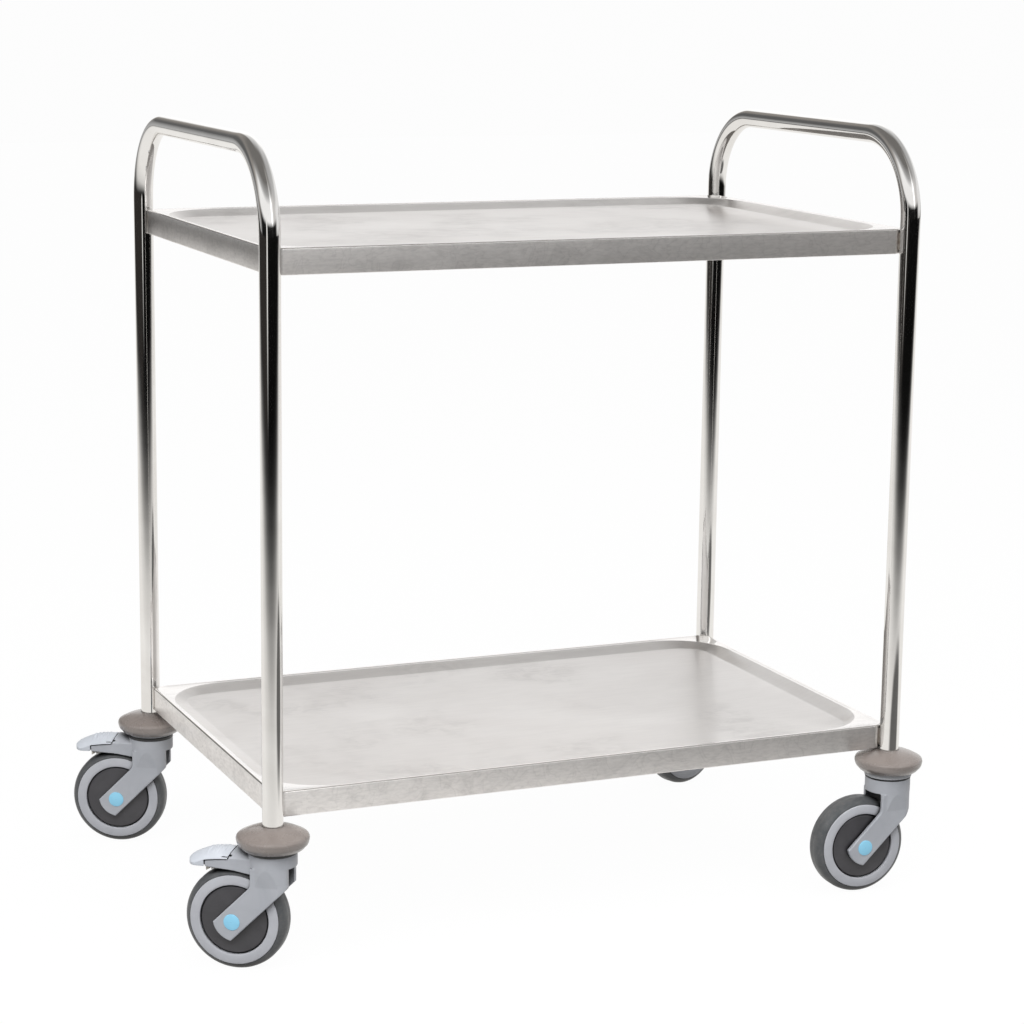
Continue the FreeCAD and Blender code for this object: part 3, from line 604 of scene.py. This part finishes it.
def refinish(node_name, material):
    mesh = frame["nodes"][node_name].data
    mesh.materials.clear()
    mesh.materials.append(material)


zinc = zinc_plate()
black_nylon = moulded("black_nylon", (0.016, 0.016, 0.017), (0.028, 0.028, 0.030), 0.42)
collar_nylon = moulded("collar_nylon", (0.44, 0.45, 0.475), (0.50, 0.51, 0.53), 0.42, crevice_shade=0.6)
refinish("tube_expanders", black_nylon)
for corner in corners:
    for part_name in ("stem_", "swivel_balls_"):
        refinish(part_name + corner, zinc)
    refinish("collar_" + corner, collar_nylon)
    foot = head_top - shade_band_depths[corner]
    swivel = record_joints["swivel_" + corner]["pos_m"]
    # A black ring over the head's top edge, painted shade for the shadowed gap under the bumper
    shade_band = turned("shade_band_" + corner, [
        (0.0250, head_top - 0.0002), (0.0250, head_top + 0.0002), (0.0288, head_top + 0.0002),
        (shade_band_radius, head_top - 0.0003), (shade_band_radius, foot + 0.0003), (0.0290, foot), (0.0280, foot),
        (0.0280, head_top - 0.0002),
    ], closed=True)
    shade_band.data.transform(Matrix.Translation((swivel[0], swivel[1], 0)))
    shown(shade_band, "fork_" + corner, "black_plastic", black_nylon)


# Forks: injection moulded in grey nylon, a round head over two legs that slant back to the axle.
# All their edges are softly rounded, as they leave the mould.
fork_voxel = 0.0006
kept_faces = 0.35


def softened(name, node_name, voxel, smoothing):
    # The moulded form of a solid, with all its edges rounded alike
    mesh = frame["nodes"][node_name].data.copy()
    piece = bpy.data.objects.new(name, mesh)
    bpy.context.scene.collection.objects.link(piece)
    remesh = piece.modifiers.new("even", "REMESH")
    remesh.mode = "VOXEL"
    remesh.voxel_size = voxel
    smooth = piece.modifiers.new("round", "SMOOTH")
    smooth.iterations = smoothing
    smooth.factor = 0.5
    fewer = piece.modifiers.new("fewer", "DECIMATE")
    fewer.ratio = kept_faces
    bpy.context.view_layer.update()
    made = bpy.data.meshes.new_from_object(piece.evaluated_get(bpy.context.evaluated_depsgraph_get()))
    bpy.data.objects.remove(piece)
    made.name = name
    made.polygons.foreach_set("use_smooth", [True] * len(made.polygons))
    return bpy.data.objects.new(name, made)


# The fork's painted shade reaches far, so the slot between its legs goes dark
fork_nylon = moulded("fork_nylon", (0.40, 0.415, 0.45), (0.455, 0.47, 0.505), 0.40, reach=0.045)
pedal_nylon = moulded("pedal_nylon", (0.53, 0.56, 0.61), (0.60, 0.63, 0.68), 0.40)
shoe_nylon = moulded("shoe_nylon", (0.62, 0.58, 0.50), (0.72, 0.69, 0.62), 0.5)
for corner in corners:
    fork = softened("moulded_fork_" + corner, "fork_" + corner, fork_voxel, 4)
    shown(fork, "fork_" + corner, "castor_plastic", fork_nylon, "fork_" + corner)


# Brakes: on the two left castors a ribbed pale pedal swings on a steel pin, over an off-white shoe
# that it pushes on the tread. Pedal and shoe are moulded in nylon, and the pin is pressed in.
pedal_voxel = 0.0004
seam_shade_section = ((0.0735, 0.1275), (0.0810, 0.1275), (0.0810, 0.1332), (0.0735, 0.1336))
seam_shade_sides = (-0.0166, -0.0158)


def castor_place(corner):
    # From a castor's own axes (X back along its trail, Y across) to where it stands
    swivel = Vector(record_joints["swivel_" + corner]["pos_m"])
    axle = Vector(record_joints["wheel_spin_" + corner]["pos_m"])
    heading = math.atan2(axle.y - swivel.y, axle.x - swivel.x)
    return Matrix.Translation((swivel.x, swivel.y, 0)) @ Matrix.Rotation(heading, 4, "Z")


def seam_shade_strip(corner):
    # A black strip on each side inside the seam between pedal and cover, painted shade that darkens the seam
    rings = [[Vector((t, n, z)) for t, z in seam_shade_section] for n in seam_shade_sides]
    shade_strip = skin("seam_shade_strip_" + corner, rings, True, True)
    far_rings = [[Vector((p.x, -p.y, p.z)) for p in ring] for ring in rings]
    mirrored = skin("far_seam_shade_strip", far_rings, True, True)
    both = bmesh.new()
    both.from_mesh(shade_strip.data)
    both.from_mesh(mirrored.data)
    both.to_mesh(shade_strip.data)
    both.free()
    bpy.data.objects.remove(mirrored)
    shade_strip.data.transform(castor_place(corner))
    return shade_strip


for corner in ("lf", "lb"):
    refinish("brake_pin_" + corner, zinc)
    pedal = softened("ribbed_pedal_" + corner, "brake_pedal_" + corner, pedal_voxel, 2)
    shown(pedal, "brake_" + corner, "pedal_plastic", pedal_nylon, "brake_pedal_" + corner)
    shown(seam_shade_strip(corner), "brake_" + corner, "black_plastic", black_nylon)
    shoe = softened("brake_finger_" + corner, "brake_shoe_" + corner, pedal_voxel, 2)
    shown(shoe, "brake_" + corner, "shoe_plastic", shoe_nylon, "brake_shoe_" + corner)


# Wheels: a dark grey tyre moulded on a light grey nylon core whose raised ring stands proud,
# a domed dark disc over the web on each side, and a plain blue cap over each end of the axle.
wheel_radius = 0.0625
ring_outer = 0.0546
ring_inner = 0.0425
ring_face = 0.0173
guard_edge = 0.0156
guard_dome = 0.0019
guard_gap = 0.0018
guard_hub = 0.0120
leg_outer = 0.0255
cap_radius = 0.010
cap_height = 0.0013


def set_on_axle(piece, corner):
    # Turns a piece made about Y to its castor's axle and moves it there
    joint = record_joints["wheel_spin_" + corner]
    axis = Vector(joint["axis"])
    turn = Matrix.Rotation(math.atan2(-axis.x, axis.y), 4, "Z")
    piece.data.transform(Matrix.Translation(joint["pos_m"]) @ turn)
    return piece


def tyre_shape(corner):
    half = [(0.0500, 0.0130), (ring_outer, 0.0130), (ring_outer, 0.0152), (0.0549, 0.0157)]
    half += curve((0.0553, 0.0158), (0.0594, 0.0129), (0.0622, 0.0066), 12)
    half += [(wheel_radius, 0.0052), (wheel_radius, 0.0018), (wheel_radius - 0.0001, 0.0006)]
    outline = half + [(r, -n) for r, n in half[::-1]]
    return turned("tread_" + corner, outline, 128, True, True)


def core_shape(corner):
    inner, outer, face = ring_inner, ring_outer, ring_face
    half = [(0.0056, 0.0070), (0.0090, 0.0070), (0.0090, 0.0140), (0.0140, 0.0140), (0.0140, 0.0100)]
    half += [(inner, 0.0100), (inner, face - 0.0012), (inner + 0.0003, face - 0.0004)]
    half += [(inner + 0.0011, face), (inner + 0.0030, face), (outer - 0.0012, face)]
    half += [(outer - 0.0003, face - 0.0004), (outer, face - 0.0012), (outer, 0.0130), (0.0500, 0.0130)]
    outline = half + [(r, -n) for r, n in half[::-1]]
    return turned("raised_ring_" + corner, outline, 128, True, True)


def guard_shape(corner, side):
    edge = ring_inner - guard_gap
    outline = [(0.0052, side * 0.0146), (0.0052, side * 0.0196), (guard_hub, side * 0.0196)]
    for step in range(13):
        radius = guard_hub + (edge - 0.0008 - guard_hub) * step / 12
        outline.append((radius, side * (guard_edge + guard_dome * (1 - (radius / edge) ** 2))))
    outline += [(edge - 0.0002, side * (guard_edge - 0.0003)), (edge, side * (guard_edge - 0.0009))]
    outline += [(edge - 0.0002, side * 0.0142), (0.0160, side * 0.0146)]
    return turned("wheel_disc_" + ("outer_" if side > 0 else "inner_") + corner, outline, 96, True, True)


def cap_shape(corner, side):
    rise = cap_height - 0.0005
    lip = side * (leg_outer + 0.0001)
    seat = side * (leg_outer - 0.0004)
    outline = [(0.0002, side * (leg_outer + cap_height))]
    for step in range(1, 11):
        radius = (cap_radius - 0.0004) * step / 10
        outline.append((radius, side * (leg_outer + 0.0005 + rise * (1 - (radius / cap_radius) ** 2))))
    outline += [(cap_radius - 0.0001, side * (leg_outer + 0.0004)), (cap_radius, lip)]
    outline += [(0.0085, lip), (0.0085, seat), (0.0002, seat)]
    return turned("axle_cap_" + ("outer_" if side > 0 else "inner_") + corner, outline, 64, True, True)


def tread_rubber():
    material, tree, surface = blank_material("tread_rubber")
    place = node(tree, "TexCoord").outputs["Object"]
    surface_place = node(tree, "UVMap", uv_map="surface").outputs["UV"]
    cloud = noise(tree, place, 60.0, 5.0, 0.6)
    rings = noise(tree, stretched(tree, surface_place, (6, 1600, 1)), 1.0, 3.0)
    tone = ramp(tree, cloud, (0.3, (0.064, 0.069, 0.074)), (0.7, (0.100, 0.104, 0.108)))
    dust = ramp(tree, noise(tree, place, 240.0, 4.0, 0.7), (0.5, 0.0), (0.8, 1.0))
    dusty = blend(tree, "MULTIPLY", 1.0, dust, (0.25, 0.25, 0.25))
    tone = blend(tree, "MIX", dusty, tone, (0.20, 0.18, 0.16))
    # Painted shade: the tyre goes nearly black where the fork and cover close in over it
    shade = node(tree, "AmbientOcclusion", Distance=0.030, samples=8)
    tone = blend(tree, "MULTIPLY", 0.97, tone, ramp(tree, shade.outputs["AO"], (0.34, 0.0), (0.70, 1.0)))
    gloss = ramp(tree, cloud, (0.3, 0.46), (0.7, 0.34))
    joined(tree, surface, Base_Color=tone, Roughness=gloss, Normal=bump(tree, rings, 0.10, 0.0002))
    return material


tread = tread_rubber()
core_nylon = moulded("core_nylon", (0.45, 0.46, 0.495), (0.51, 0.52, 0.555), 0.45)
disc_nylon = moulded("disc_nylon", (0.040, 0.039, 0.043), (0.062, 0.060, 0.066), 0.32)
cap_nylon = moulded("cap_nylon", (0.28, 0.64, 0.87), (0.32, 0.69, 0.91), 0.34)
for corner in corners:
    wheel = "wheel_" + corner
    carrier = "fork_" + corner
    shown(set_on_axle(tyre_shape(corner), corner), wheel, "tyre_rubber", tread, "tyre_" + corner)
    shown(set_on_axle(core_shape(corner), corner), wheel, "core_plastic", core_nylon, "wheel_core_" + corner)
    refinish("wheel_bearings_" + corner, zinc)
    refinish("axle_" + corner, zinc)
    for side in (1, -1):
        guard = set_on_axle(guard_shape(corner, side), corner)
        shown(guard, carrier, "dark_plastic", disc_nylon, "thread_guards_" + corner)
        cap = set_on_axle(cap_shape(corner, side), corner)
        shown(cap, carrier, "cap_plastic", cap_nylon, "axle_caps_" + corner)


# Floor and room: a white paper sweep under soft light. The steel mirrors the rest of the studio: there
# the paper glows with a painted pool of light that darkens away from the cart and a painted shadow just
# in front of the cart, with a dark floor and broad white panels in front of it and a grey wall and ceiling
# behind and above.
paper_half = 14.0
paper_share = 0.97
fade_from = 1.2
fade_left = 5.2
fade_right = 10.4
fade_back = 1.5
fade_front = 3.9
fade_end = 1.5
shade_place = (0.70, -1.00)
shade_size = (0.75, 0.60)


def stage_piece(name, vertices, faces, material):
    mesh = bpy.data.meshes.new(name)
    mesh.from_pydata(vertices, [], faces)
    piece = bpy.data.objects.new(name, mesh)
    bpy.context.scene.collection.objects.link(piece)
    mesh.materials.append(material)
    return piece


def squared(tree, first, second):
    # The sum of two squares, for a distance from a middle
    return worked(tree, "ADD", worked(tree, "MULTIPLY", first, first), worked(tree, "MULTIPLY", second, second))


def faded(tree, share, first, second, material):
    # Puts a mix of two surfaces on a material
    mix = node(tree, "MixShader")
    tree.links.new(share, mix.inputs["Fac"])
    tree.links.new(first, mix.inputs[1])
    tree.links.new(second, mix.inputs[2])
    tree.links.new(mix.outputs["Shader"], tree.nodes["Material Output"].inputs["Surface"])
    return material


def floor_paper():
    material, tree, surface = blank_material("floor_paper")
    surface.inputs["Roughness"].default_value = 0.9
    surface.inputs["Specular IOR Level"].default_value = 0.0
    glow = node(tree, "Emission", Strength=1.0)
    path = node(tree, "LightPath")
    paper = blend(tree, "MIX", path.outputs["Is Camera Ray"], (0.22, 0.22, 0.22), (0.90, 0.90, 0.90))
    tree.links.new(paper, surface.inputs["Base Color"])
    # Painted light: seen in the steel, the paper glows brightest round the cart and fades with distance
    x, y, z = apart(tree, node(tree, "TexCoord").outputs["Object"])
    to_left = worked(tree, "DIVIDE", worked(tree, "SUBTRACT", fade_from, x), fade_left)
    to_right = worked(tree, "DIVIDE", worked(tree, "SUBTRACT", x, fade_from), fade_right)
    aside = worked(tree, "MAXIMUM", to_left, to_right)
    before = worked(tree, "MAXIMUM", worked(tree, "SUBTRACT", fade_back, y), 0.0)
    before = worked(tree, "DIVIDE", before, fade_front)
    far = worked(tree, "SQRT", squared(tree, aside, before))
    warm = (1.0, 0.985, 0.96)
    lights = (
        (0.62, 0.93), (0.80, 0.70), (0.90, 0.42), (0.976, 0.27),
        (1.08, 0.11), (1.18, 0.042), (1.30, 0.014), (1.43, 0.004),
    )
    stops = [(stop / fade_end, tuple(light * w for w in warm)) for stop, light in lights]
    seen = ramp(tree, worked(tree, "DIVIDE", far, fade_end), *stops)
    # Painted shadow: a soft dark patch in front of the cart, seen only in the steel, for the cart's shadow on
    # the paper
    shade_x = worked(tree, "DIVIDE", worked(tree, "SUBTRACT", x, shade_place[0]), shade_size[0])
    shade_y = worked(tree, "DIVIDE", worked(tree, "SUBTRACT", y, shade_place[1]), shade_size[1])
    shade = squared(tree, shade_x, shade_y)
    seen = blend(tree, "MULTIPLY", 1.0, seen, ramp(tree, shade, (0.45, 0.16), (1.0, 1.0)))
    left = smooth(tree, worked(tree, "SUBTRACT", worked(tree, "MULTIPLY", y, 0.55), x), 0.8, 3.2)
    seen = blend(tree, "LIGHTEN", left, seen, (0.030, 0.027, 0.025))
    seen = blend(tree, "MIX", path.outputs["Is Camera Ray"], seen, (1.0, 1.0, 1.0))
    tree.links.new(seen, glow.inputs["Color"])
    share = worked(tree, "MULTIPLY", path.outputs["Is Camera Ray"], paper_share)
    share = worked(tree, "MAXIMUM", share, path.outputs["Is Glossy Ray"])
    return faded(tree, share, surface.outputs["BSDF"], glow.outputs["Emission"], material)


paper_corners = [(x * paper_half, y * paper_half, 0) for x, y in ((-1, -1), (1, -1), (1, 1), (-1, 1))]
stage_piece("floor", paper_corners, [(0, 1, 2, 3)], floor_paper())


def white_panel():
    # A narrow reflector left of the camera, seen only in the steel, with soft edges
    material, tree, surface = blank_material("reflector")
    tree.nodes.remove(surface)
    across = apart(tree, node(tree, "TexCoord").outputs["Generated"])
    side = worked(tree, "ABSOLUTE", worked(tree, "SUBTRACT", across[0], 0.5))
    beside = smooth(tree, worked(tree, "SUBTRACT", 0.5, side), 0.0, 0.35)
    edge = worked(tree, "MULTIPLY", beside, smooth(tree, across[2], 0.0, 0.35))
    glow = node(tree, "Emission", Color=(0.95, 0.94, 0.92, 1))
    clear = node(tree, "BsdfTransparent")
    faded(tree, edge, clear.outputs["BSDF"], glow.outputs["Emission"], material)
    points = [(-1.52, -1.07, 0.38), (-1.24, -1.32, 0.38), (-1.24, -1.32, 1.25), (-1.52, -1.07, 1.25)]
    panel = stage_piece("reflector", points, [(0, 1, 2, 3)], material)
    panel.visible_camera = False
    panel.visible_diffuse = False
    panel.visible_shadow = False


white_panel()

world = bpy.data.worlds.new("room")
bpy.context.scene.world = world
world.use_nodes = True
tree = world.node_tree
background = tree.nodes["Background"]
path = node(tree, "LightPath")
x, y, z = apart(tree, node(tree, "TexCoord").outputs["Generated"])

# Height above the horizon decides each side's brightness: its sine, from 0.2 below to straight up
below = 0.2
height = worked(tree, "DIVIDE", worked(tree, "ADD", z, below), 1 + below)


def wall(*stops):
    return ramp(tree, height, *(((rise + below) / (1 + below), tone) for rise, tone in stops))


ceiling = (0.175, 0.168, 0.16)
grey_wall = (0.31, 0.29, 0.27)
front = wall((-0.2, 0.004), (0.12, 0.012), (0.22, 1.0), (0.54, 1.0), (0.68, 0.44), (0.86, ceiling))
middle = wall((-0.1, 1.05), (0.46, 1.18), (0.60, 0.76), (0.80, 0.52), (0.95, ceiling))
low_right = (0.45, 0.44, 0.43)
right = wall((-0.1, low_right), (0.03, 0.88), (0.30, 0.88), (0.44, 0.55), (0.75, 0.45), (0.90, ceiling))
back = wall((-0.1, 0.60), (0.0, 0.50), (0.05, grey_wall), (0.45, grey_wall), (0.75, ceiling))
dark_corner = wall((0.0, 0.45), (0.10, 0.32), (0.20, 0.12), (0.50, 0.12), (0.62, ceiling))
towards = worked(tree, "ADD", worked(tree, "MULTIPLY", x, -0.395), worked(tree, "MULTIPLY", y, -0.918))
left_back = worked(tree, "ADD", worked(tree, "MULTIPLY", x, -0.5), worked(tree, "MULTIPLY", y, 0.866))
around = blend(tree, "MIX", smooth(tree, x, 0.02, 0.16), back, middle)
around = blend(tree, "MIX", smooth(tree, x, 0.50, 0.72), around, right)
around = blend(tree, "MIX", smooth(tree, left_back, 0.80, 0.93), around, dark_corner)
panels = ramp(tree, x, (0.14, 1.0), (0.25, 2.4), (0.36, 1.15), (0.56, (0.66, 0.65, 0.64)))
front = blend(tree, "MULTIPLY", 1.0, front, panels)
around = blend(tree, "MIX", smooth(tree, towards, -0.15, 0.35), around, front)
sweep = blend(tree, "MIX", path.outputs["Is Camera Ray"], (1.0, 1.0, 1.0), (0.98, 0.98, 0.98))
seen = blend(tree, "MIX", path.outputs["Is Glossy Ray"], sweep, around)
tree.links.new(seen, background.inputs["Color"])
soft_light = worked(tree, "MULTIPLY_ADD", path.outputs["Is Diffuse Ray"], -0.52, 1.0)
tree.links.new(soft_light, background.inputs["Strength"])


# Lamps and camera: a broad lamp from the left front, a soft one overhead, and a long lens
# at the height and distance that the photograph's straight edges give.
camera_place = (-1.3755, -3.1805, 1.1735)
camera_heading = -0.40688
camera_tilt = math.pi / 2 - 0.19955
camera_roll = 0.01246
key_target = Vector((0, 0, 0.45))

key_data = bpy.data.lights.new("key", "AREA")
key_data.shape = "RECTANGLE"
key_data.size = 3.2
key_data.size_y = 1.3
key_data.energy = 92.0
key = bpy.data.objects.new("key", key_data)
key.location = (-1.72, -2.05, 2.54)
key.visible_glossy = False
key.rotation_euler = (key_target - key.location).to_track_quat("-Z", "Y").to_euler()
bpy.context.scene.collection.objects.link(key)

overhead_data = bpy.data.lights.new("overhead", "AREA")
overhead_data.shape = "SQUARE"
overhead_data.size = 3.0
overhead_data.energy = 70.0
overhead = bpy.data.objects.new("overhead", overhead_data)
overhead.location = (0.8, -0.8, 3.2)
overhead.visible_glossy = False
bpy.context.scene.collection.objects.link(overhead)

camera_data = bpy.data.cameras.new("camera")
camera_data.sensor_width = 36.0
camera_data.lens = 96.12
camera_data.shift_x = 0.0005
camera_data.shift_y = 0.0003
camera = bpy.data.objects.new("camera", camera_data)
bpy.context.scene.collection.objects.link(camera)
camera.matrix_world = (
    Matrix.Translation(camera_place)
    @ Matrix.Rotation(camera_heading, 4, "Z")
    @ Matrix.Rotation(camera_tilt, 4, "X")
    @ Matrix.Rotation(camera_roll, 4, "Z")
)
bpy.context.scene.camera = camera
bpy.context.scene.view_settings.view_transform = "Standard"
